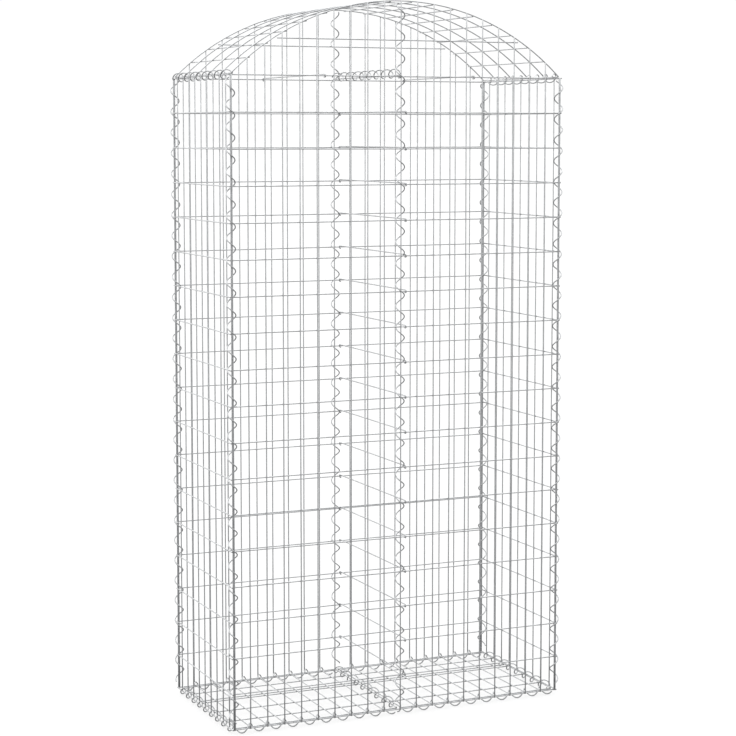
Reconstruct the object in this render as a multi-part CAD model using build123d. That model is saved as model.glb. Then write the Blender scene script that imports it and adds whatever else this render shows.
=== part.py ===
from build123d import *
import math
import os

# An arched gabion basket for a dry stone wall, standing empty, in millimetres.
# X runs along the wall from left to right, Y from front to back and Z up.
# Welded mesh panels are laced together along their edges by spirals of wire,
# and straight ties with hooked ends hold the front and the back wall together.

# Wire. Each round wire is drawn as a square bar with the same area of section.
mesh_wire = 3.5
lacing_wire = 3.5
square_side_share = math.sqrt(math.pi) / 2
corner_reach_share = math.sqrt(2) / 2
seat_gap = 0.3
weld_sink = 0.3

# Walls, between the middles of the outermost wires
wall_width = 990.0
wall_depth = 471.0
wall_height = 1774.0
row_count = 18
upright_pitch = 50.0
long_wire_pitch = 100.0
long_wire_shift_share = 1 / 2
doubled_wire_gap = 20.0
least_edge_cell = 15.0

# Arched roof
arch_rise = 203.0
roof_wire_count = 18

# Spirals
spiral_radius = 12.0
corners_per_turn = 6
lying_spiral_pitch = 50.0
standing_pitch_share = 3 / 5

# Ties at the eaves stand this far from the middle of the wall
eave_tie_offset = 225.0

bar = mesh_wire * square_side_share
lacing_bar = lacing_wire * square_side_share
row_pitch = wall_height / row_count
half_width = wall_width / 2
half_depth = wall_depth / 2
row_plane = half_depth - bar
side_plane = half_width + bar + seat_gap
side_row_plane = side_plane + bar
corner_angle = 360 / corners_per_turn
flat_share = math.cos(math.radians(corner_angle / 2))

# A spiral holds two wires, one each side of its axis, against the flats of its turns
spiral_reach = spiral_radius + lacing_bar * corner_reach_share
seat = spiral_radius * flat_share - (lacing_bar + bar) * corner_reach_share - seat_gap
floor_edge_x = side_row_plane - 2 * seat
floor_edge_y = row_plane - 2 * seat
end_room = spiral_reach + lacing_bar * corner_reach_share + seat_gap
end_gap = bar / 2 + lacing_bar * corner_reach_share + seat_gap

# The roof rests on the eave rows of the front and the back wall
roof_lift = bar * (1 / 2 + corner_reach_share) + seat_gap
roof_foot_x = side_row_plane - math.sqrt((2 * seat) ** 2 - roof_lift ** 2)
roof_foot_z = wall_height + roof_lift
crown_z = wall_height + arch_rise
crown_rise = crown_z - roof_foot_z
roof_wire_radius = (roof_foot_x ** 2 + crown_rise ** 2) / (2 * crown_rise)
arch_centre = crown_z - roof_wire_radius
hoop_radius = roof_wire_radius + bar - weld_sink
foot_angle = math.degrees(math.asin(roof_foot_x / roof_wire_radius))
hoop_overhang = math.degrees(bar / hoop_radius)


def straight(start, end, size):
    """A straight wire along one of the three axes."""
    way = Vector(end) - Vector(start)
    section = Plane(origin=start, z_dir=way) * Rectangle(size, size)
    return extrude(section, way.length)


def bent(points, size):
    """A wire bent at each of its points, with mitred corners."""
    way = Vector(points[1]) - Vector(points[0])
    section = Plane(origin=points[0], z_dir=way) * Rectangle(size, size)
    return sweep(section, path=Polyline(*points), transition=Transition.RIGHT)


def welded(wires):
    """Wires fused where they cross."""
    return wires[0].fuse(*wires[1:])


def spread(pitch, edge, shift_share=0):
    """Places at a pitch on both sides of the middle, and one at each edge."""
    count = math.floor((edge - least_edge_cell) / pitch - shift_share)
    inner = [pitch * (i + shift_share) for i in range(count + 1)]
    return sorted({-edge, *(-place for place in inner), *inner, edge})


def hoop_height(x):
    """Height of the middle of a roof hoop at a place along the wall."""
    return arch_centre + math.sqrt(hoop_radius ** 2 - x ** 2)


def long_wall(side):
    """The front wall (side -1) or the back wall (side 1), up to the arch."""
    uprights = []
    for x in spread(upright_pitch, half_width):
        top = hoop_height(x) if abs(x) < roof_foot_x else wall_height + bar / 2
        uprights.append(straight((x, side * half_depth, -bar / 2), (x, side * half_depth, top), bar))
    rows = []
    reach = half_width + bar / 2
    for k in range(row_count + 1):
        y, z = side * row_plane, k * row_pitch
        rows.append(straight((-reach, y, z), (reach, y, z), bar))
    arch_row = wall_height + row_pitch
    over_centre = arch_row + bar / 2 - arch_centre
    reach = math.sqrt((roof_wire_radius - bar / 2) ** 2 - over_centre ** 2) - seat_gap
    rows.append(straight((-reach, side * row_plane, arch_row), (reach, side * row_plane, arch_row), bar))
    return welded(uprights + rows)


def side_wall(side):
    """The left wall (side -1) or the right wall (side 1), with its rows outside."""
    wires = []
    for y in spread(upright_pitch, half_depth):
        x = side * side_plane
        wires.append(straight((x, y, -bar / 2), (x, y, wall_height + bar / 2), bar))
    reach = half_depth + bar / 2
    for k in range(row_count + 1):
        x, z = side * side_row_plane, k * row_pitch
        wires.append(straight((x, -reach, z), (x, reach, z), bar))
    return welded(wires)


def floor_panel(side):
    """One half of the floor: long wires below, one of them doubled, and cross wires on top."""
    wires = []
    doubled = long_wire_pitch * long_wire_shift_share + doubled_wire_gap
    for y in [*spread(long_wire_pitch, floor_edge_y, long_wire_shift_share), doubled]:
        start = side * (seat - bar / 2)
        end = side * (floor_edge_x + bar / 2)
        wires.append(straight((start, y, 0), (end, y, 0), bar))
    cross_count = math.floor((floor_edge_x - least_edge_cell) / upright_pitch)
    places = [seat, *(upright_pitch * i for i in range(1, cross_count + 1)), floor_edge_x]
    reach = floor_edge_y + bar / 2
    for x in places:
        wires.append(straight((side * x, -reach, bar), (side * x, reach, bar), bar))
    return welded(wires)


def arched_roof():
    """Hoops over the walls with straight wires welded beneath them."""
    first = 90 - foot_angle - hoop_overhang
    turn = 2 * (foot_angle + hoop_overhang)
    outer = CenterArc((0, arch_centre), hoop_radius + bar / 2, first, turn)
    inner = CenterArc((0, arch_centre), hoop_radius - bar / 2, first, turn)
    outline = make_face([outer, Line(outer @ 1, inner @ 1), inner, Line(inner @ 0, outer @ 0)])
    hoop = extrude(Plane.XZ * outline, bar / 2, both=True)
    wires = [Pos(0, y, 0) * hoop for y in spread(long_wire_pitch, row_plane, long_wire_shift_share)]
    for i in range(roof_wire_count):
        angle = foot_angle * (2 * i / (roof_wire_count - 1) - 1)
        length = 2 * (row_plane + bar / 2)
        wire = Pos(0, 0, roof_wire_radius) * Box(bar, length, bar)
        wires.append(Pos(0, 0, arch_centre) * Rot(0, angle, 0) * wire)
    return welded(wires)


def spiral(axis, facing, pitch, start, end, turn):
    """A right-handed (turn 1) or left-handed (turn -1) spiral, with flats that face the axis plane's X.

    At the axis plane's origin it faces the angle given, and start and end are places along the axis.
    """
    half_corner = corner_angle / 2
    low, high = sorted(facing + turn * 360 * place / pitch for place in (start, end))
    first = math.ceil((low - half_corner) / corner_angle)
    last = math.floor((high - half_corner) / corner_angle)
    points = []
    for k in range(first, last + 1):
        angle = half_corner + corner_angle * k
        x = spiral_radius * math.cos(math.radians(angle))
        y = spiral_radius * math.sin(math.radians(angle))
        z = turn * pitch * (angle - facing) / 360
        points.append(axis.from_local_coords((x, y, z)))
    return bent(points, lacing_bar)


def hooked_tie(x, z):
    """A tie across the basket, lying on the rows of both walls and hooked round them."""
    hook = (bar + lacing_bar) / 2 + seat_gap
    front = -row_plane
    back = row_plane
    points = [
        (x, front + hook, z - hook),
        (x, front - hook, z - hook),
        (x, front - hook, z + hook),
        (x, back + hook, z + hook),
        (x, back + hook, z - hook),
        (x, back - hook, z - hook),
    ]
    return bent(points, lacing_bar)


parts = {
    "front_wall": long_wall(-1),
    "back_wall": long_wall(1),
    "left_wall": side_wall(-1),
    "right_wall": side_wall(1),
    "floor_left": floor_panel(-1),
    "floor_right": floor_panel(1),
    "arched_roof": arched_roof(),
}

# Spirals turn left-handed, but for those up the right wall's edges and along its eave
standing_pitch = row_pitch * standing_pitch_share
standing_foot = bar + end_room
turn_x = {-1: -1, 1: 1}
names_x = {-1: "left", 1: "right"}
names_y = {-1: "front", 1: "back"}

for sy, name_y in names_y.items():
    # Spirals round the middle upright, which lies against their outer flats
    axis = Plane(origin=(0, sy * (half_depth - seat), 0), x_dir=(0, sy, 0), z_dir=(0, 0, 1))
    top = hoop_height(0) - bar - lacing_bar
    parts["middle_spiral_" + name_y] = spiral(axis, 0, standing_pitch, standing_foot, top, -1)
    for sx, name_x in names_x.items():
        # Corner spirals round the edges of two walls, facing into the basket at the lowest row
        corner = sx * (half_width + side_plane) / 2
        axis = Plane(origin=(corner, sy * (half_depth - seat), 0), x_dir=(0, sy, 0), z_dir=(0, 0, 1))
        top = wall_height - bar - lacing_bar
        name = "corner_spiral_" + name_y + "_" + name_x
        parts[name] = spiral(axis, 135 * sx * sy, standing_pitch, standing_foot, top, turn_x[sx])
        # Spirals along the foot of the front and the back wall, highest beside each upright
        axis = Plane(origin=(0, sy * (row_plane - seat), 0), x_dir=(0, sy, 0), z_dir=(1, 0, 0))
        ends = sorted((sx * end_room, sx * (floor_edge_x - end_gap)))
        name = "floor_spiral_" + name_y + "_" + name_x
        parts[name] = spiral(axis, 90 * sy, lying_spiral_pitch, *ends, -1)

reach = half_depth - seat - end_room
for sx, name_x in names_x.items():
    # Spirals along the foot of the side walls, lowest beneath each upright
    axis = Plane(origin=(sx * (side_row_plane - seat), 0, bar / 2), x_dir=(sx, 0, 0), z_dir=(0, 1, 0))
    parts["floor_spiral_" + name_x] = spiral(axis, 90 * sx, lying_spiral_pitch, -reach, reach, -1)
    # Spirals along the eaves, highest above each upright
    eave_row = Vector(sx * side_row_plane, 0, wall_height)
    roof_foot = Vector(sx * roof_foot_x, 0, roof_foot_z)
    axis = Plane(origin=(eave_row + roof_foot) / 2, x_dir=eave_row - roof_foot, z_dir=(0, 1, 0))
    parts["eave_spiral_" + name_x] = spiral(axis, -90 * sx, lying_spiral_pitch, -reach, reach, turn_x[sx])

axis = Plane(origin=(0, 0, bar), x_dir=(1, 0, 0), z_dir=(0, 1, 0))
floor_reach = row_plane - end_gap
parts["floor_spiral_middle"] = spiral(axis, -90, lying_spiral_pitch, -floor_reach, floor_reach, -1)

# Ties beside the middle uprights, one at each row, and three at the eaves
tie_x = spiral_reach + lacing_bar / 2 + seat_gap
tie_lift = (bar + lacing_bar) / 2 + seat_gap
for k in range(1, row_count):
    parts["cross_tie_" + str(k).zfill(2)] = hooked_tie(tie_x, k * row_pitch)
middle_eave_x = -tie_lift
eave_ties = {"left": -eave_tie_offset, "middle": middle_eave_x, "right": eave_tie_offset}
for name, x in eave_ties.items():
    parts["eave_tie_" + name] = hooked_tie(x, wall_height)

# A spiral is wound round the middle eave tie, which lies on the lower flats of its turns
above_tie = spiral_radius * flat_share - 2 * lacing_bar * corner_reach_share - seat_gap
axis = Plane(origin=(middle_eave_x, 0, wall_height + tie_lift + above_tie), x_dir=(0, 0, 1), z_dir=(0, 1, 0))
parts["eave_spiral_middle"] = spiral(axis, 0, lying_spiral_pitch, -reach, reach, -1)

# The basket stands on the lowest turns of its floor spirals, with the origin below its middle
box = Compound(list(parts.values())).bounding_box()
ground = Pos(-box.center().X, -box.center().Y, -box.min.Z)

os.makedirs("parts", exist_ok=True)
for name, shape in parts.items():
    export_step(ground * shape, "parts/" + name + ".step")
print(len(parts), "nodes", box.size)
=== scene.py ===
import math
import random
from types import SimpleNamespace

import bpy
from bpy.props import FloatProperty, FloatVectorProperty, IntProperty, PointerProperty
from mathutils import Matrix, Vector


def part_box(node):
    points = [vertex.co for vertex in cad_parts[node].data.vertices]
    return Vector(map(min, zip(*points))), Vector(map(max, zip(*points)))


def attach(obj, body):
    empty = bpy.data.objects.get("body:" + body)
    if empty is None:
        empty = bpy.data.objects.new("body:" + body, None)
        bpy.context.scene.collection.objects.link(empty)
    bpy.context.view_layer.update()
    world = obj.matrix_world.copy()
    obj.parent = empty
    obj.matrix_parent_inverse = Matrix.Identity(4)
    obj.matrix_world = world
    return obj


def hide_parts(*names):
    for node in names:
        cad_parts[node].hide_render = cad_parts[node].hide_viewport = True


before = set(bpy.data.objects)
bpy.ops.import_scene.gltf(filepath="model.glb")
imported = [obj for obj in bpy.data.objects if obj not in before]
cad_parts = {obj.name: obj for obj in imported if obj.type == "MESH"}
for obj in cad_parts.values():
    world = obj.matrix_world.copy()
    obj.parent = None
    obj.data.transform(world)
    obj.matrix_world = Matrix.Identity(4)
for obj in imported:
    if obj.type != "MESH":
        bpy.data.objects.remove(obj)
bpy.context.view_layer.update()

bl_info = {
    "name": "Arched Gabion Basket",
    "version": (1, 0, 0),
    "blender": (4, 5, 0),
    "location": "View3D > Sidebar > Gabion",
    "description": "Dresses an arched gabion basket in round galvanised wire and sets it on a pale floor",
    "category": "Add Mesh",
}

MM = 0.001
SEAT_GAP = 0.3 * MM  # between wires that lie against one another
HOOK_PLAY = 0.05 * MM  # between a tie's hook and the wire in it
HALF_BAR = 1.551 * MM  # half the thickness of a square bar of the solids
CORNER_SHARE = math.sqrt(0.5)  # from a square bar's middle to its edge, in thicknesses
FLAT_SHARE = math.cos(math.radians(30))  # from a six-sided turn's middle to its side, in radii
LEAST_SIDES = 6  # of a round wire
LACING_TONE_SHARE = 0.90  # how dull the spirals and ties are beside the welded wires


class GabionWire(bpy.types.PropertyGroup):
    """Thickness of the wires and how finely they are drawn."""

    mesh_wire: FloatProperty(
        name="Mesh wire", description="Thickness of the welded wires",
        default=3.5 * MM, min=1 * MM, max=8 * MM, unit="LENGTH", precision=4)
    lacing_wire: FloatProperty(
        name="Lacing wire", description="Thickness of the spirals and ties",
        default=3.5 * MM, min=1 * MM, max=8 * MM, unit="LENGTH", precision=4)
    sides: IntProperty(
        name="Sides", description="Faces round a wire", default=12, min=LEAST_SIDES, max=24)
    steps_per_turn: IntProperty(
        name="Steps per turn", description="Straight steps in one turn of a spiral",
        default=28, min=12, max=64)
    bow: FloatProperty(
        name="Bow", description="How far a long wire strays from a straight line between its welds",
        default=0.35 * MM, min=0, max=2 * MM, unit="LENGTH", precision=5)
    weld_width: FloatProperty(
        name="Weld width", description="Width of the bead of metal at a crossing",
        default=4.6 * MM, min=1 * MM, max=10 * MM, unit="LENGTH", precision=4)
    weld_height: FloatProperty(
        name="Weld height", description="Height of the bead of metal at a crossing",
        default=2.6 * MM, min=1 * MM, max=10 * MM, unit="LENGTH", precision=4)


class GabionPanels(bpy.types.PropertyGroup):
    """Places of the wires in the welded panels."""

    foot_height: FloatProperty(
        name="Foot height", description="Height of the lowest row of wires above the ground",
        default=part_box("front_wall")[0].z + HALF_BAR, unit="LENGTH", precision=4)
    wall_width: FloatProperty(
        name="Wall width", description="Between the outermost uprights of the front wall",
        default=0.990, unit="LENGTH")
    wall_depth: FloatProperty(
        name="Wall depth", description="Between the uprights of the front and the back wall",
        default=0.471, unit="LENGTH")
    wall_height: FloatProperty(
        name="Wall height", description="From the lowest row of wires to the eaves",
        default=1.774, unit="LENGTH")
    row_count: IntProperty(
        name="Rows", description="Cells from the foot to the eaves", default=18, min=2, max=60)
    upright_pitch: FloatProperty(
        name="Upright pitch", description="Between neighbouring uprights", default=0.050, unit="LENGTH")
    long_wire_pitch: FloatProperty(
        name="Long wire pitch", description="Between the long wires of the floor and the hoops of the roof",
        default=0.100, unit="LENGTH")
    least_edge_cell: FloatProperty(
        name="Least edge cell", description="Narrowest cell beside an edge wire",
        default=0.015, unit="LENGTH")
    doubled_wire_gap: FloatProperty(
        name="Doubled wire gap", description="From one long wire of the floor to the extra one behind it",
        default=0.020, unit="LENGTH")
    arch_rise: FloatProperty(
        name="Arch rise", description="From the eaves to the crown of the roof", default=0.203, unit="LENGTH")
    roof_wire_count: IntProperty(
        name="Roof wires", description="Straight wires under the hoops of the roof",
        default=18, min=4, max=60)


class GabionLacing(bpy.types.PropertyGroup):
    """Shape of the spirals and the ties."""

    spiral_radius: FloatProperty(
        name="Spiral radius", description="From a spiral's axis to the middle of its wire",
        default=12 * MM, unit="LENGTH", precision=4)
    lying_pitch: FloatProperty(
        name="Lying pitch", description="Length of one turn of a lying spiral",
        default=50 * MM, unit="LENGTH")
    standing_pitch_share: FloatProperty(
        name="Standing pitch share", description="One turn of a standing spiral, in cells of the wall",
        default=0.6, min=0.2, max=2, subtype="FACTOR")
    eave_tie_offset: FloatProperty(
        name="Eave tie offset", description="From the middle of the wall to the outer ties at the eaves",
        default=0.225, unit="LENGTH")
    hook_tail: FloatProperty(
        name="Hook tail", description="Straight end of a tie behind the wire that it hooks",
        default=7 * MM, unit="LENGTH", precision=4)


class GabionFinish(bpy.types.PropertyGroup):
    """Colours of the zinc coat."""

    bright_zinc: FloatVectorProperty(
        name="Bright zinc", description="Lightest tone of the coat", subtype="COLOR",
        default=(0.525, 0.535, 0.545), min=0, max=1)
    dull_zinc: FloatVectorProperty(
        name="Dull zinc", description="Weathered tone of the coat", subtype="COLOR",
        default=(0.372, 0.377, 0.382), min=0, max=1)
    weld_zinc: FloatVectorProperty(
        name="Weld", description="Burnt tone at the welds and cut ends", subtype="COLOR",
        default=(0.27, 0.274, 0.278), min=0, max=1)


class GabionStage(bpy.types.PropertyGroup):
    """Floor, light and camera."""

    floor_tone: FloatVectorProperty(
        name="Floor", description="Tone of the floor", subtype="COLOR",
        default=(0.15, 0.15, 0.15), min=0, max=1)
    backdrop_glow: FloatProperty(
        name="Backdrop", description="Brightness of the wall round the floor", default=1.02, min=0)
    floor_glow: FloatProperty(
        name="Floor glow", description="Light that comes up through the floor", default=0.77, min=0)
    zenith_tone: FloatVectorProperty(
        name="Zenith", description="Light from straight above", subtype="COLOR",
        default=(2.6, 2.6, 2.6), min=0, max=4)
    sky_tone: FloatVectorProperty(
        name="Sky", description="Light from the bright band just above the horizon", subtype="COLOR",
        default=(2.3, 2.3, 2.3), min=0, max=4)
    haze_tone: FloatVectorProperty(
        name="Haze", description="Light from the dimmer band over the bright one", subtype="COLOR",
        default=(1.2, 1.2, 1.2), min=0, max=4)
    horizon_tone: FloatVectorProperty(
        name="Horizon", description="Light from the horizon", subtype="COLOR",
        default=(1.05, 1.05, 1.05), min=0, max=4)
    low_tone: FloatVectorProperty(
        name="Low", description="Light that the wires mirror from below the horizon", subtype="COLOR",
        default=(0.55, 0.55, 0.555), min=0, max=4)
    ground_tone: FloatVectorProperty(
        name="Ground", description="Light that the wires mirror from straight below", subtype="COLOR",
        default=(0.34, 0.34, 0.34), min=0, max=4)
    back_light: FloatProperty(
        name="Back light", description="How much brighter the sky is behind, and dimmer in front",
        default=0.28, min=0, max=1)
    lamp_strength: FloatProperty(
        name="Lamp", description="Strength of the wide lamp overhead", default=0.4, min=0)
    camera_place: FloatVectorProperty(
        name="Camera", description="Place of the camera", subtype="TRANSLATION", unit="LENGTH",
        default=(-2.33893, -5.27740, 1.63762))
    camera_turn: FloatProperty(
        name="Turn", description="Camera turned to the right of the wall's depth", subtype="ANGLE",
        default=math.radians(23.9486))
    camera_dip: FloatProperty(
        name="Dip", description="Camera turned down from level", subtype="ANGLE",
        default=math.radians(5.2707))
    camera_lens: FloatProperty(
        name="Lens", description="Focal length in millimetres, with a sensor 36 mm wide",
        default=98.472, min=10)
    camera_shift: FloatProperty(
        name="Shift", description="Upward shift of the camera's frame", default=-0.0687)


def layout(scene):
    """Places that several pieces share, in metres, from the sizes in the sidebar."""
    wire = scene.gabion_wire
    panels = scene.gabion_panels
    lacing = scene.gabion_lacing
    place = SimpleNamespace()

    # The solids' square bars have the section area of the round wires.
    place.bar = wire.mesh_wire * math.sqrt(math.pi) / 2
    place.lacing_bar = wire.lacing_wire * math.sqrt(math.pi) / 2

    # Planes of the panels
    place.foot = panels.foot_height
    place.eave = place.foot + panels.wall_height
    place.row_pitch = panels.wall_height / panels.row_count
    place.half_width = panels.wall_width / 2
    place.half_depth = panels.wall_depth / 2
    place.row_plane = place.half_depth - place.bar
    place.side_plane = place.half_width + place.bar + SEAT_GAP
    place.side_row_plane = place.side_plane + place.bar

    # A spiral's axis lies one seat from the wires that it joins, and its ends keep clear of other wires.
    reach = (place.lacing_bar + place.bar) * CORNER_SHARE
    place.seat = lacing.spiral_radius * FLAT_SHARE - reach - SEAT_GAP
    place.floor_edge_x = place.side_row_plane - 2 * place.seat
    place.floor_edge_y = place.row_plane - 2 * place.seat
    place.end_room = lacing.spiral_radius + 2 * place.lacing_bar * CORNER_SHARE + SEAT_GAP
    place.end_gap = place.bar / 2 + place.lacing_bar * CORNER_SHARE + SEAT_GAP
    place.reach_y = place.half_depth - place.seat - place.end_room

    # The roof's lowest wires stand two seats from the eaves' rows.
    place.roof_lift = place.bar * (0.5 + CORNER_SHARE) + SEAT_GAP
    place.roof_foot_x = place.side_row_plane - math.sqrt((2 * place.seat) ** 2 - place.roof_lift ** 2)
    rise = panels.arch_rise - place.roof_lift
    place.roof_radius = (place.roof_foot_x ** 2 + rise ** 2) / (2 * rise)
    place.arch_centre = place.eave + panels.arch_rise - place.roof_radius
    place.hoop_radius = place.roof_radius + place.bar - SEAT_GAP
    place.foot_angle = math.asin(place.roof_foot_x / place.roof_radius)

    # Ties lie on the rows, the cross ties just beside the middle spirals.
    place.tie_lift = (place.bar + place.lacing_bar) / 2 + SEAT_GAP
    place.tie_x = lacing.spiral_radius + place.lacing_bar * (CORNER_SHARE + 0.5) + SEAT_GAP
    return place


def spread(pitch, edge, least, shift=0.0):
    """Places at a pitch on both sides of the middle, and one at each edge."""
    count = math.floor((edge - least) / pitch - shift)
    inner = [pitch * (i + shift) for i in range(count + 1)]
    return sorted({-edge, edge, *inner, *(-x for x in inner)})


def hoop_height(place, x):
    """Height of the middle of a roof hoop at a place along the wall."""
    return place.arch_centre + math.sqrt(place.hoop_radius ** 2 - x ** 2)


class WireWork:
    """Collects round wires and weld beads into one mesh."""

    blunt_share = 0.22  # of the radius, taken off the rim of a cut end
    bead_points = 8  # round a weld bead
    bead_rings = 3  # from its top to its underside
    least_bead, most_bead = 0.88, 1.12  # in shares of the weld's size

    def __init__(self, sides, seed):
        self.sides = sides
        self.chance = random.Random(seed)
        self.verts = []
        self.faces = []
        self.burnt = []

    def ring(self, centre, across, up, radius, burnt):
        """Adds one ring of points round a wire and returns the number of its first point."""
        first = len(self.verts)
        for k in range(self.sides):
            angle = 2 * math.pi * k / self.sides
            self.verts.append(centre + (across * math.cos(angle) + up * math.sin(angle)) * radius)
            self.burnt.append(burnt)
        return first

    def wire(self, points, radius):
        """A round wire along points, with sheared ends whose edges are a little blunt."""
        points = [Vector(p) for p in points]
        last = len(points) - 1
        ways = [(points[min(i + 1, last)] - points[max(i - 1, 0)]).normalized() for i in range(last + 1)]
        across = ways[0].orthogonal().normalized()
        blunt = radius * self.blunt_share
        stations = [(points[0], ways[0], radius - blunt, 1.0)]
        for i, (point, way) in enumerate(zip(points, ways)):
            if i == 0:
                point = point + way * blunt
            elif i == last:
                point = point - way * blunt
            stations.append((point, way, radius, 0.0))
        stations.append((points[last], ways[last], radius - blunt, 1.0))
        starts = []
        for point, way, size, burnt in stations:
            across = (across - way * across.dot(way)).normalized()
            starts.append(self.ring(point, across, way.cross(across), size, burnt))
        for a, b in zip(starts, starts[1:]):
            for k in range(self.sides):
                n = (k + 1) % self.sides
                self.faces.append((a + k, a + n, b + n, b + k))
        self.faces.append(tuple(starts[0] + k for k in reversed(range(self.sides))))
        self.faces.append(tuple(starts[-1] + k for k in range(self.sides)))

    def rod(self, start, end, radius, sway, bow, cell):
        """A straight wire that strays a little to one side and the other along its length."""
        start, end, sway = Vector(start), Vector(end), Vector(sway)
        count = max(2, round((end - start).length / cell))
        first, second = (self.chance.uniform(-bow, bow) for _ in range(2))
        points = []
        for i in range(count + 1):
            share = i / count
            stray = first * math.sin(math.pi * share) + second * math.sin(3 * math.pi * share)
            points.append(start.lerp(end, share) + sway * stray)
        self.wire(points, radius)

    def weld(self, place, normal, width, height):
        """A bead of metal squeezed out between two crossing wires."""
        place, normal = Vector(place), Vector(normal)
        across = normal.orthogonal().normalized()
        up = normal.cross(across)
        around, rings = self.bead_points, self.bead_rings
        size = self.chance.uniform(self.least_bead, self.most_bead)
        lean = self.chance.uniform(0, math.pi)
        base = len(self.verts)
        for r in range(1, rings + 1):
            polar = math.pi * r / (rings + 1)
            for k in range(around):
                angle = lean + 2 * math.pi * k / around
                spoke = across * math.cos(angle) + up * math.sin(angle)
                out, over = width / 2 * size * math.sin(polar), height / 2 * size * math.cos(polar)
                self.verts.append(place + spoke * out + normal * over)
                self.burnt.append(1.0)
        top, low = len(self.verts), len(self.verts) + 1
        self.verts += [place + normal * (height / 2 * size), place - normal * (height / 2 * size)]
        self.burnt += [1.0, 1.0]
        for k in range(around):
            n = (k + 1) % around
            self.faces.append((top, base + k, base + n))
            for r in range(rings - 1):
                a, b = base + r * around, base + (r + 1) * around
                self.faces.append((a + k, b + k, b + n, a + n))
            b = base + (rings - 1) * around
            self.faces.append((low, b + n, b + k))

    def piece(self, name, finish, nodes):
        """Makes the mesh object, rides it on the basket and hides its solids."""
        mesh = bpy.data.meshes.new(name)
        mesh.from_pydata([tuple(v) for v in self.verts], [], self.faces)
        mesh.polygons.foreach_set("use_smooth", [len(p.vertices) <= 4 for p in mesh.polygons])
        burnt = mesh.attributes.new("burnt", "FLOAT", "POINT")
        burnt.data.foreach_set("value", self.burnt)
        mesh.update()
        mesh.materials.append(finish)
        obj = bpy.data.objects.new(name, mesh)
        bpy.context.scene.collection.objects.link(obj)
        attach(obj, "root")
        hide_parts(*nodes)


def helix(origin, x_dir, axis, facing, pitch, start, end, turn, radius, steps):
    """Points of a right-handed (turn 1) or left-handed (turn -1) spiral, at the angle facing by its origin."""
    origin, x_dir, axis = Vector(origin), Vector(x_dir).normalized(), Vector(axis)
    y_dir = axis.cross(x_dir)
    count = math.ceil((end - start) / pitch * steps)
    points = []
    for i in range(count + 1):
        along = start + (end - start) * i / count
        angle = facing + turn * 2 * math.pi * along / pitch
        spoke = x_dir * math.cos(angle) + y_dir * math.sin(angle)
        points.append(origin + axis * along + spoke * radius)
    return points


def zinc_coat(scene, name, tone_share):
    """Hot-dipped zinc: cloudy grey metal with fine spangle, drawn grain and burnt welds."""
    found = bpy.data.materials.get(name)
    if found:
        return found
    finish = scene.gabion_finish
    material = bpy.data.materials.new(name)
    material.use_nodes = True
    nodes, links = material.node_tree.nodes, material.node_tree.links
    shader = nodes["Principled BSDF"]
    shader.inputs["Metallic"].default_value = 0.92
    where = nodes.new("ShaderNodeTexCoord")

    clouds = nodes.new("ShaderNodeTexNoise")
    clouds.inputs["Scale"].default_value = 38
    clouds.inputs["Detail"].default_value = 5
    clouds.inputs["Roughness"].default_value = 0.62
    links.new(where.outputs["Object"], clouds.inputs["Vector"])
    spangle = nodes.new("ShaderNodeTexVoronoi")
    spangle.inputs["Scale"].default_value = 420
    links.new(where.outputs["Object"], spangle.inputs["Vector"])
    flake = nodes.new("ShaderNodeSeparateColor")
    links.new(spangle.outputs["Color"], flake.inputs["Color"])

    cloud_tone = nodes.new("ShaderNodeMapRange")
    cloud_tone.inputs["From Min"].default_value = 0.32
    cloud_tone.inputs["From Max"].default_value = 0.68
    links.new(clouds.outputs["Fac"], cloud_tone.inputs["Value"])
    mottle = nodes.new("ShaderNodeMix")
    mottle.inputs["Factor"].default_value = 0.35
    links.new(cloud_tone.outputs["Result"], mottle.inputs["A"])
    links.new(flake.outputs["Red"], mottle.inputs["B"])
    coat = nodes.new("ShaderNodeMix")
    coat.data_type = "RGBA"
    coat.inputs["A"].default_value = (*(c * tone_share for c in finish.dull_zinc), 1)
    coat.inputs["B"].default_value = (*(c * tone_share for c in finish.bright_zinc), 1)
    links.new(mottle.outputs["Result"], coat.inputs["Factor"])

    burnt = nodes.new("ShaderNodeAttribute")
    burnt.attribute_name = "burnt"
    weld = nodes.new("ShaderNodeMix")
    weld.data_type = "RGBA"
    weld.inputs["B"].default_value = (*finish.weld_zinc, 1)
    links.new(burnt.outputs["Fac"], weld.inputs["Factor"])
    links.new(coat.outputs["Result"], weld.inputs["A"])
    links.new(weld.outputs["Result"], shader.inputs["Base Color"])

    matt = nodes.new("ShaderNodeMapRange")
    matt.inputs["To Min"].default_value = 0.36
    matt.inputs["To Max"].default_value = 0.22
    links.new(mottle.outputs["Result"], matt.inputs["Value"])
    links.new(matt.outputs["Result"], shader.inputs["Roughness"])

    grain = nodes.new("ShaderNodeTexNoise")
    grain.inputs["Scale"].default_value = 1400
    grain.inputs["Detail"].default_value = 3
    links.new(where.outputs["Object"], grain.inputs["Vector"])
    rough = nodes.new("ShaderNodeBump")
    rough.inputs["Strength"].default_value = 0.35
    rough.inputs["Distance"].default_value = 0.08 * MM
    links.new(grain.outputs["Fac"], rough.inputs["Height"])
    links.new(rough.outputs["Normal"], shader.inputs["Normal"])
    return material


def mesh_coat(scene):
    """Finish of the welded wires."""
    return zinc_coat(scene, "zinc_coat_mesh", 1.0)


def lacing_coat(scene):
    """Finish of the spirals and ties, a little duller than that of the welded wires."""
    return zinc_coat(scene, "zinc_coat_lacing", LACING_TONE_SHARE)


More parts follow.
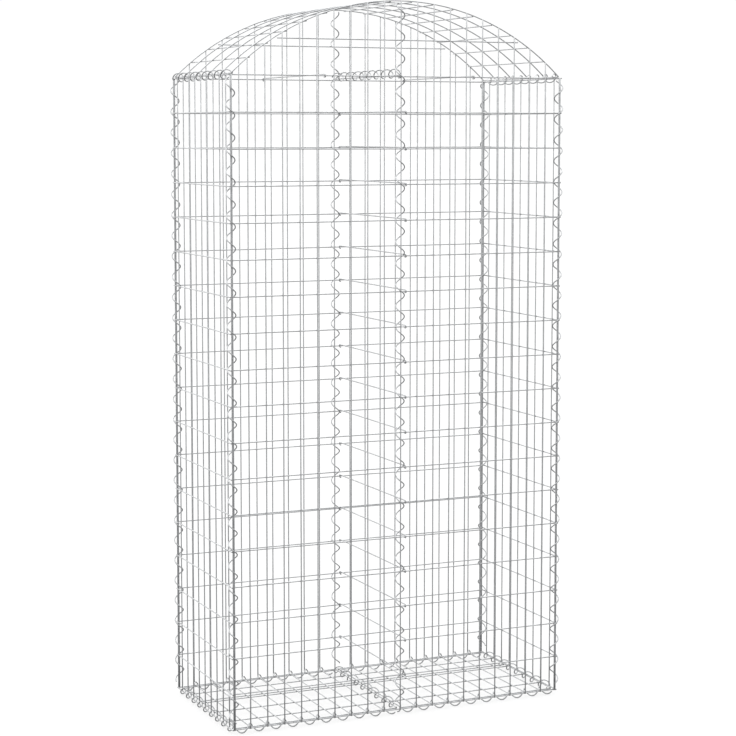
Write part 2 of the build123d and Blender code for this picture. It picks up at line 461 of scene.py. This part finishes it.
class GABION_OT_long_walls(bpy.types.Operator):
    """Weld the front and the back wall, with uprights that run up to the arch"""

    bl_idname = "gabion.long_walls"
    bl_label = "Front and Back Wall"

    def execute(self, context):
        scene = context.scene
        wire, panels, place = scene.gabion_wire, scene.gabion_panels, layout(scene)
        radius = wire.mesh_wire / 2
        uprights = spread(panels.upright_pitch, place.half_width, panels.least_edge_cell)
        reach = place.half_width + place.bar / 2
        rows = [(place.foot + k * place.row_pitch, reach) for k in range(panels.row_count + 1)]
        arch_row = place.eave + place.row_pitch
        over_centre = arch_row + place.bar / 2 - place.arch_centre
        arch_reach = math.sqrt((place.roof_radius - place.bar / 2) ** 2 - over_centre ** 2) - SEAT_GAP
        rows.append((arch_row, arch_reach))
        for side, name in ((-1, "front_wall"), (1, "back_wall")):
            work = WireWork(wire.sides, name)
            y, row_y = side * place.half_depth, side * place.row_plane
            low = place.foot - place.bar / 2
            for x in uprights:
                top = place.eave + place.bar / 2
                if abs(x) < place.roof_foot_x:
                    top = hoop_height(place, x)
                bow = 0 if x in (uprights[0], 0, uprights[-1]) else wire.bow
                work.rod((x, y, low), (x, y, top), radius, (1, 0, 0), bow, place.row_pitch)
                for z, row_reach in rows:
                    if z < top and abs(x) <= row_reach:
                        work.weld((x, (y + row_y) / 2, z), (0, 1, 0), wire.weld_width, wire.weld_height)
            for z, row_reach in rows:
                work.rod((-row_reach, row_y, z), (row_reach, row_y, z), radius, (0, 0, 1),
                         wire.bow, panels.upright_pitch)
            work.piece(name + "_wires", mesh_coat(scene), [name])
        return {"FINISHED"}


class GABION_OT_side_walls(bpy.types.Operator):
    """Weld the left and the right wall, with their rows outside"""

    bl_idname = "gabion.side_walls"
    bl_label = "Side Walls"

    def execute(self, context):
        scene = context.scene
        wire, panels, place = scene.gabion_wire, scene.gabion_panels, layout(scene)
        radius = wire.mesh_wire / 2
        uprights = spread(panels.upright_pitch, place.half_depth, panels.least_edge_cell)
        reach = place.half_depth + place.bar / 2
        rows = [place.foot + k * place.row_pitch for k in range(panels.row_count + 1)]
        for side, name in ((-1, "left_wall"), (1, "right_wall")):
            work = WireWork(wire.sides, name)
            x, row_x = side * place.side_plane, side * place.side_row_plane
            for y in uprights:
                bow = 0 if y in (uprights[0], uprights[-1]) else wire.bow
                work.rod((x, y, place.foot - place.bar / 2), (x, y, place.eave + place.bar / 2), radius,
                         (0, 1, 0), bow, place.row_pitch)
                for z in rows:
                    work.weld(((x + row_x) / 2, y, z), (1, 0, 0), wire.weld_width, wire.weld_height)
            for z in rows:
                work.rod((row_x, -reach, z), (row_x, reach, z), radius, (0, 0, 1), wire.bow / 2,
                         panels.upright_pitch)
            work.piece(name + "_wires", mesh_coat(scene), [name])
        return {"FINISHED"}


class GABION_OT_floor_panels(bpy.types.Operator):
    """Weld the two halves of the floor, with the long wires below and one of them doubled"""

    bl_idname = "gabion.floor_panels"
    bl_label = "Floor"

    def execute(self, context):
        scene = context.scene
        wire, panels, place = scene.gabion_wire, scene.gabion_panels, layout(scene)
        radius = wire.mesh_wire / 2
        long_wires = spread(panels.long_wire_pitch, place.floor_edge_y, panels.least_edge_cell, shift=0.5)
        long_wires.append(panels.long_wire_pitch / 2 + panels.doubled_wire_gap)
        count = math.floor((place.floor_edge_x - panels.least_edge_cell) / panels.upright_pitch)
        inner = [panels.upright_pitch * i for i in range(1, count + 1)]
        cross_wires = [place.seat, *inner, place.floor_edge_x]
        reach = place.floor_edge_y + place.bar / 2
        low, high = place.foot, place.foot + place.bar
        for side, name in ((-1, "floor_left"), (1, "floor_right")):
            work = WireWork(wire.sides, name)
            for y in long_wires:
                start = side * (place.seat - place.bar / 2)
                end = side * (place.floor_edge_x + place.bar / 2)
                work.rod((start, y, low), (end, y, low), radius, (0, 1, 0), wire.bow / 2,
                         panels.upright_pitch)
            for x in cross_wires:
                bow = 0 if x in (cross_wires[0], cross_wires[-1]) else wire.bow / 2
                work.rod((side * x, -reach, high), (side * x, reach, high), radius, (1, 0, 0), bow,
                         panels.upright_pitch)
                for y in long_wires:
                    work.weld((side * x, y, (low + high) / 2), (0, 0, 1),
                              wire.weld_width, wire.weld_height)
            work.piece(name + "_wires", mesh_coat(scene), [name])
        return {"FINISHED"}


class GABION_OT_arched_roof(bpy.types.Operator):
    """Weld the arched roof: bent hoops over straight wires"""

    bl_idname = "gabion.arched_roof"
    bl_label = "Arched Roof"

    steps_per_wire = 4  # straight steps of a hoop for each wire under it

    def execute(self, context):
        scene = context.scene
        wire, panels, place = scene.gabion_wire, scene.gabion_panels, layout(scene)
        radius = wire.mesh_wire / 2
        work = WireWork(wire.sides, "arched_roof")
        hoops = spread(panels.long_wire_pitch, place.row_plane, panels.least_edge_cell, shift=0.5)
        reach = place.foot_angle + place.bar / place.hoop_radius
        steps = self.steps_per_wire * panels.roof_wire_count
        for y in hoops:
            points = []
            for i in range(steps + 1):
                angle = reach * (2 * i / steps - 1)
                x, z = math.sin(angle) * place.hoop_radius, math.cos(angle) * place.hoop_radius
                points.append((x, y, place.arch_centre + z))
            work.wire(points, radius)
        half_length = Vector((0, place.row_plane + place.bar / 2, 0))
        for i in range(panels.roof_wire_count):
            angle = place.foot_angle * (2 * i / (panels.roof_wire_count - 1) - 1)
            out = Vector((math.sin(angle), 0, math.cos(angle)))
            wire_place = Vector((0, 0, place.arch_centre)) + out * place.roof_radius
            along = Vector((math.cos(angle), 0, -math.sin(angle)))
            work.rod(wire_place - half_length, wire_place + half_length, radius, along, wire.bow / 2,
                     panels.upright_pitch)
            for y in hoops:
                middle = Vector((0, y, place.arch_centre)) + out * (place.roof_radius + place.hoop_radius) / 2
                work.weld(middle, out, wire.weld_width, wire.weld_height)
        work.piece("arched_roof_wires", mesh_coat(scene), ["arched_roof"])
        return {"FINISHED"}


def lacing_piece(scene, node, points):
    """Draws a spiral or a tie along points and hides its solid."""
    wire = scene.gabion_wire
    work = WireWork(max(LEAST_SIDES, wire.sides - 2), node)
    work.wire(points, wire.lacing_wire / 2)
    work.piece(node + "_wire", lacing_coat(scene), [node])


def lace(scene, node, origin, x_dir, axis, facing, pitch, start, end, turn):
    """Winds one lacing spiral."""
    radius, steps = scene.gabion_lacing.spiral_radius, scene.gabion_wire.steps_per_turn
    lacing_piece(scene, node, helix(origin, x_dir, axis, facing, pitch, start, end, turn, radius, steps))


class GABION_OT_standing_spirals(bpy.types.Operator):
    """Wind the spirals up the corners and up the middle of the front and the back wall"""

    bl_idname = "gabion.standing_spirals"
    bl_label = "Standing Spirals"

    def execute(self, context):
        scene = context.scene
        place = layout(scene)
        pitch = place.row_pitch * scene.gabion_lacing.standing_pitch_share
        up = (0, 0, 1)
        corner_facing = math.radians(135)
        for sy, name_y in ((-1, "front"), (1, "back")):
            origin = Vector((0, sy * (place.half_depth - place.seat), place.foot))
            start = place.bar + place.end_room
            top = hoop_height(place, 0) - place.foot - place.bar - place.lacing_bar
            lace(scene, "middle_spiral_" + name_y, origin, (0, sy, 0), up, 0, pitch, start, top, -1)
            for sx, name_x in ((-1, "left"), (1, "right")):
                origin.x = sx * (place.half_width + place.side_plane) / 2
                top = place.eave - place.foot - place.bar - place.lacing_bar
                lace(scene, "corner_spiral_" + name_y + "_" + name_x, origin, (0, sy, 0), up,
                     corner_facing * sx * sy, pitch, start, top, sx)
        return {"FINISHED"}


class GABION_OT_foot_spirals(bpy.types.Operator):
    """Wind the spirals along the foot of all four walls and along the middle of the floor"""

    bl_idname = "gabion.foot_spirals"
    bl_label = "Foot Spirals"

    def execute(self, context):
        scene = context.scene
        place, pitch = layout(scene), scene.gabion_lacing.lying_pitch
        quarter = math.pi / 2
        for sx, name_x in ((-1, "left"), (1, "right")):
            for sy, name_y in ((-1, "front"), (1, "back")):
                ends = sorted((sx * place.end_room, sx * (place.floor_edge_x - place.end_gap)))
                lace(scene, "floor_spiral_" + name_y + "_" + name_x,
                     (0, sy * (place.row_plane - place.seat), place.foot), (0, sy, 0), (1, 0, 0),
                     quarter * sy, pitch, *ends, -1)
            lace(scene, "floor_spiral_" + name_x,
                 (sx * (place.side_row_plane - place.seat), 0, place.foot + place.bar / 2), (sx, 0, 0),
                 (0, 1, 0), quarter * sx, pitch, -place.reach_y, place.reach_y, -1)
        middle_reach = place.row_plane - place.end_gap
        lace(scene, "floor_spiral_middle", (0, 0, place.foot + place.bar), (1, 0, 0), (0, 1, 0),
             -quarter, pitch, -middle_reach, middle_reach, -1)
        return {"FINISHED"}


class GABION_OT_eave_spirals(bpy.types.Operator):
    """Wind the spirals along the eaves and the one round the middle tie"""

    bl_idname = "gabion.eave_spirals"
    bl_label = "Eave Spirals"

    def execute(self, context):
        scene = context.scene
        lacing, place = scene.gabion_lacing, layout(scene)
        reach = place.reach_y
        for sx, name_x in ((-1, "left"), (1, "right")):
            eave_row = Vector((sx * place.side_row_plane, 0, place.eave))
            roof_foot = Vector((sx * place.roof_foot_x, 0, place.eave + place.roof_lift))
            lace(scene, "eave_spiral_" + name_x, (eave_row + roof_foot) / 2, eave_row - roof_foot, (0, 1, 0),
                 -math.pi / 2 * sx, lacing.lying_pitch, -reach, reach, sx)
        rise = lacing.spiral_radius * FLAT_SHARE - 2 * place.lacing_bar * CORNER_SHARE - SEAT_GAP
        lace(scene, "eave_spiral_middle", (-place.tie_lift, 0, place.eave + place.tie_lift + rise), (0, 0, 1),
             (0, 1, 0), 0, lacing.lying_pitch, -reach, reach, -1)
        return {"FINISHED"}


class GABION_OT_ties(bpy.types.Operator):
    """Bend the ties across the basket, hooked round the rows of the front and the back wall"""

    bl_idname = "gabion.ties"
    bl_label = "Ties"

    shank_steps = 6  # from the middle of a tie to its hook
    hook_steps = 10  # round a hook

    def execute(self, context):
        scene = context.scene
        wire, panels, lacing = scene.gabion_wire, scene.gabion_panels, scene.gabion_lacing
        place = layout(scene)
        ties = {}
        for k in range(1, panels.row_count):
            ties["cross_tie_" + str(k).zfill(2)] = (place.tie_x, place.foot + k * place.row_pitch)
        ties["eave_tie_left"] = (-lacing.eave_tie_offset, place.eave)
        ties["eave_tie_middle"] = (-place.tie_lift, place.eave)
        ties["eave_tie_right"] = (lacing.eave_tie_offset, place.eave)
        hook = (wire.mesh_wire + wire.lacing_wire) / 2 + HOOK_PLAY
        for node, (x, z) in ties.items():
            half = []
            for i in range(1, self.shank_steps + 1):
                half.append((x, place.row_plane * i / self.shank_steps, z + hook))
            for i in range(1, self.hook_steps + 1):
                angle = math.pi * i / self.hook_steps
                half.append((x, place.row_plane + math.sin(angle) * hook, z + math.cos(angle) * hook))
            half.append((x, place.row_plane - lacing.hook_tail, z - hook))
            front = [(px, -py, pz) for px, py, pz in reversed(half)]
            lacing_piece(scene, node, [*front, (x, 0, z + hook), *half])
        return {"FINISHED"}


class GABION_OT_stage(bpy.types.Operator):
    """Set out the pale floor lit from below, the white backdrop, the soft light and the camera"""

    bl_idname = "gabion.stage"
    bl_label = "Stage"

    floor_reach = 300  # metres, so far out that the floor's rim lies behind the backdrop
    backdrop_reach = 299
    backdrop_foot, backdrop_top = -1, 200
    rim_steps = 96  # round the floor and the backdrop
    cloud_share = 0.995  # tone of the floor's darkest clouds

    def execute(self, context):
        scene = context.scene
        stage = scene.gabion_stage
        self.lay_floor(scene, stage)
        self.raise_backdrop(scene, stage)
        self.hang_sky(scene, stage)
        self.place_camera(scene, stage)
        return {"FINISHED"}

    def rim(self, reach):
        """Points of a wide circle round the basket."""
        turns = [2 * math.pi * k / self.rim_steps for k in range(self.rim_steps)]
        return [(reach * math.cos(turn), reach * math.sin(turn)) for turn in turns]

    def lay_floor(self, scene, stage):
        """A wide pale floor with a faint cloudiness."""
        material = bpy.data.materials.new("pale_floor")
        material.use_nodes = True
        nodes, links = material.node_tree.nodes, material.node_tree.links
        shader = nodes["Principled BSDF"]
        shader.inputs["Roughness"].default_value = 0.9
        shader.inputs["Specular IOR Level"].default_value = 0.0
        shader.inputs["Emission Color"].default_value = (1, 1, 1, 1)
        shader.inputs["Emission Strength"].default_value = stage.floor_glow
        where = nodes.new("ShaderNodeTexCoord")
        clouds = nodes.new("ShaderNodeTexNoise")
        clouds.inputs["Scale"].default_value = 0.4
        links.new(where.outputs["Object"], clouds.inputs["Vector"])
        tone = nodes.new("ShaderNodeMix")
        tone.data_type = "RGBA"
        tone.inputs["A"].default_value = (*(c * self.cloud_share for c in stage.floor_tone), 1)
        tone.inputs["B"].default_value = (*stage.floor_tone, 1)
        links.new(clouds.outputs["Fac"], tone.inputs["Factor"])
        links.new(tone.outputs["Result"], shader.inputs["Base Color"])
        mesh = bpy.data.meshes.new("floor")
        verts = [(x, y, 0) for x, y in self.rim(self.floor_reach)]
        mesh.from_pydata(verts, [], [tuple(range(self.rim_steps))])
        mesh.materials.append(material)
        floor = bpy.data.objects.new("floor", mesh)
        scene.collection.objects.link(floor)
        floor.visible_glossy = False

    def raise_backdrop(self, scene, stage):
        """A white wall round the floor, which takes no part in the light."""
        material = bpy.data.materials.new("white_backdrop")
        material.use_nodes = True
        shader = material.node_tree.nodes["Principled BSDF"]
        shader.inputs["Base Color"].default_value = (0, 0, 0, 1)
        shader.inputs["Specular IOR Level"].default_value = 0.0
        shader.inputs["Emission Color"].default_value = (1, 1, 1, 1)
        shader.inputs["Emission Strength"].default_value = stage.backdrop_glow
        rim, steps = self.rim(self.backdrop_reach), self.rim_steps
        verts = [(x, y, z) for z in (self.backdrop_foot, self.backdrop_top) for x, y in rim]
        faces = [(k, k + steps, (k + 1) % steps + steps, (k + 1) % steps) for k in range(steps)]
        mesh = bpy.data.meshes.new("backdrop")
        mesh.from_pydata(verts, [], faces)
        mesh.materials.append(material)
        backdrop = bpy.data.objects.new("backdrop", mesh)
        scene.collection.objects.link(backdrop)
        backdrop.visible_glossy = False
        backdrop.visible_diffuse = False
        backdrop.visible_shadow = False

    def hang_sky(self, scene, stage):
        """Soft light in level bands, brightest overhead and stronger from behind, with a wide weak lamp."""
        world = bpy.data.worlds.new("soft_sky")
        world.use_nodes = True
        scene.world = world
        nodes, links = world.node_tree.nodes, world.node_tree.links
        where = nodes.new("ShaderNodeTexCoord")
        parts = nodes.new("ShaderNodeSeparateXYZ")
        links.new(where.outputs["Generated"], parts.inputs["Vector"])
        height = nodes.new("ShaderNodeMapRange")
        height.inputs["From Min"].default_value = -1
        links.new(parts.outputs["Z"], height.inputs["Value"])
        tones = nodes.new("ShaderNodeValToRGB")
        # Heights of the bands run from 0 straight below, over 0.5 at the horizon, to 1 straight above.
        bands = ((0, stage.ground_tone), (0.26, stage.ground_tone), (0.36, stage.low_tone),
                 (0.50, stage.horizon_tone), (0.515, stage.sky_tone), (0.54, stage.sky_tone),
                 (0.58, stage.haze_tone), (0.70, stage.haze_tone), (1, stage.zenith_tone))
        ramp = tones.color_ramp.elements
        for k, (level, tone) in enumerate(bands):
            band = ramp[k] if k < 2 else ramp.new(level)
            band.position = level
            band.color = (*tone, 1)
        links.new(height.outputs["Result"], tones.inputs["Fac"])
        links.new(tones.outputs["Color"], nodes["Background"].inputs["Color"])
        behind = nodes.new("ShaderNodeMath")
        behind.operation = "MULTIPLY_ADD"
        behind.inputs[1].default_value = stage.back_light
        behind.inputs[2].default_value = 1.0
        links.new(parts.outputs["Y"], behind.inputs[0])
        links.new(behind.outputs["Value"], nodes["Background"].inputs["Strength"])

        lamp = bpy.data.lights.new("soft_lamp", "SUN")
        lamp.angle = math.radians(100)
        lamp.energy = stage.lamp_strength
        lamp_object = bpy.data.objects.new("soft_lamp", lamp)
        lamp_object.rotation_euler = (math.radians(25), math.radians(-20), 0)
        scene.collection.objects.link(lamp_object)
        scene.view_settings.view_transform = "Standard"

    def place_camera(self, scene, stage):
        """A long lens at eye height, turned a little down and to the right."""
        camera = bpy.data.cameras.new("camera")
        camera.sensor_width = 36
        camera.lens = stage.camera_lens
        camera.shift_y = stage.camera_shift
        camera.clip_end = 1000
        camera_object = bpy.data.objects.new("camera", camera)
        camera_object.location = stage.camera_place
        camera_object.rotation_euler = (math.pi / 2 - stage.camera_dip, 0, -stage.camera_turn)
        scene.collection.objects.link(camera_object)
        scene.camera = camera_object


class GABION_PT_basket(bpy.types.Panel):
    """Sidebar panel with the pieces of the basket and their sizes"""

    bl_idname = "GABION_PT_basket"
    bl_label = "Gabion Basket"
    bl_space_type = "VIEW_3D"
    bl_region_type = "UI"
    bl_category = "Gabion"

    def draw(self, context):
        layout_column = self.layout.column()
        for operator in OPERATORS:
            layout_column.operator(operator.bl_idname)
        for group in GROUPS:
            settings = getattr(context.scene, group)
            layout_column.label(text=group.replace("_", " ").title())
            for name in settings.__annotations__:
                layout_column.prop(settings, name)


OPERATORS = (
    GABION_OT_long_walls,
    GABION_OT_side_walls,
    GABION_OT_floor_panels,
    GABION_OT_arched_roof,
    GABION_OT_standing_spirals,
    GABION_OT_foot_spirals,
    GABION_OT_eave_spirals,
    GABION_OT_ties,
    GABION_OT_stage,
)
GROUPS = {
    "gabion_wire": GabionWire,
    "gabion_panels": GabionPanels,
    "gabion_lacing": GabionLacing,
    "gabion_finish": GabionFinish,
    "gabion_stage": GabionStage,
}


def register():
    for group, settings in GROUPS.items():
        bpy.utils.register_class(settings)
        setattr(bpy.types.Scene, group, PointerProperty(type=settings))
    for operator in OPERATORS:
        bpy.utils.register_class(operator)
    bpy.utils.register_class(GABION_PT_basket)


def unregister():
    bpy.utils.unregister_class(GABION_PT_basket)
    for operator in reversed(OPERATORS):
        bpy.utils.unregister_class(operator)
    for group, settings in GROUPS.items():
        delattr(bpy.types.Scene, group)
        bpy.utils.unregister_class(settings)


def main():
    register()
    bpy.ops.gabion.long_walls()
    bpy.ops.gabion.side_walls()
    bpy.ops.gabion.floor_panels()
    bpy.ops.gabion.arched_roof()
    bpy.ops.gabion.standing_spirals()
    bpy.ops.gabion.foot_spirals()
    bpy.ops.gabion.eave_spirals()
    bpy.ops.gabion.ties()
    bpy.ops.gabion.stage()


if __name__ == "__main__":
    main()
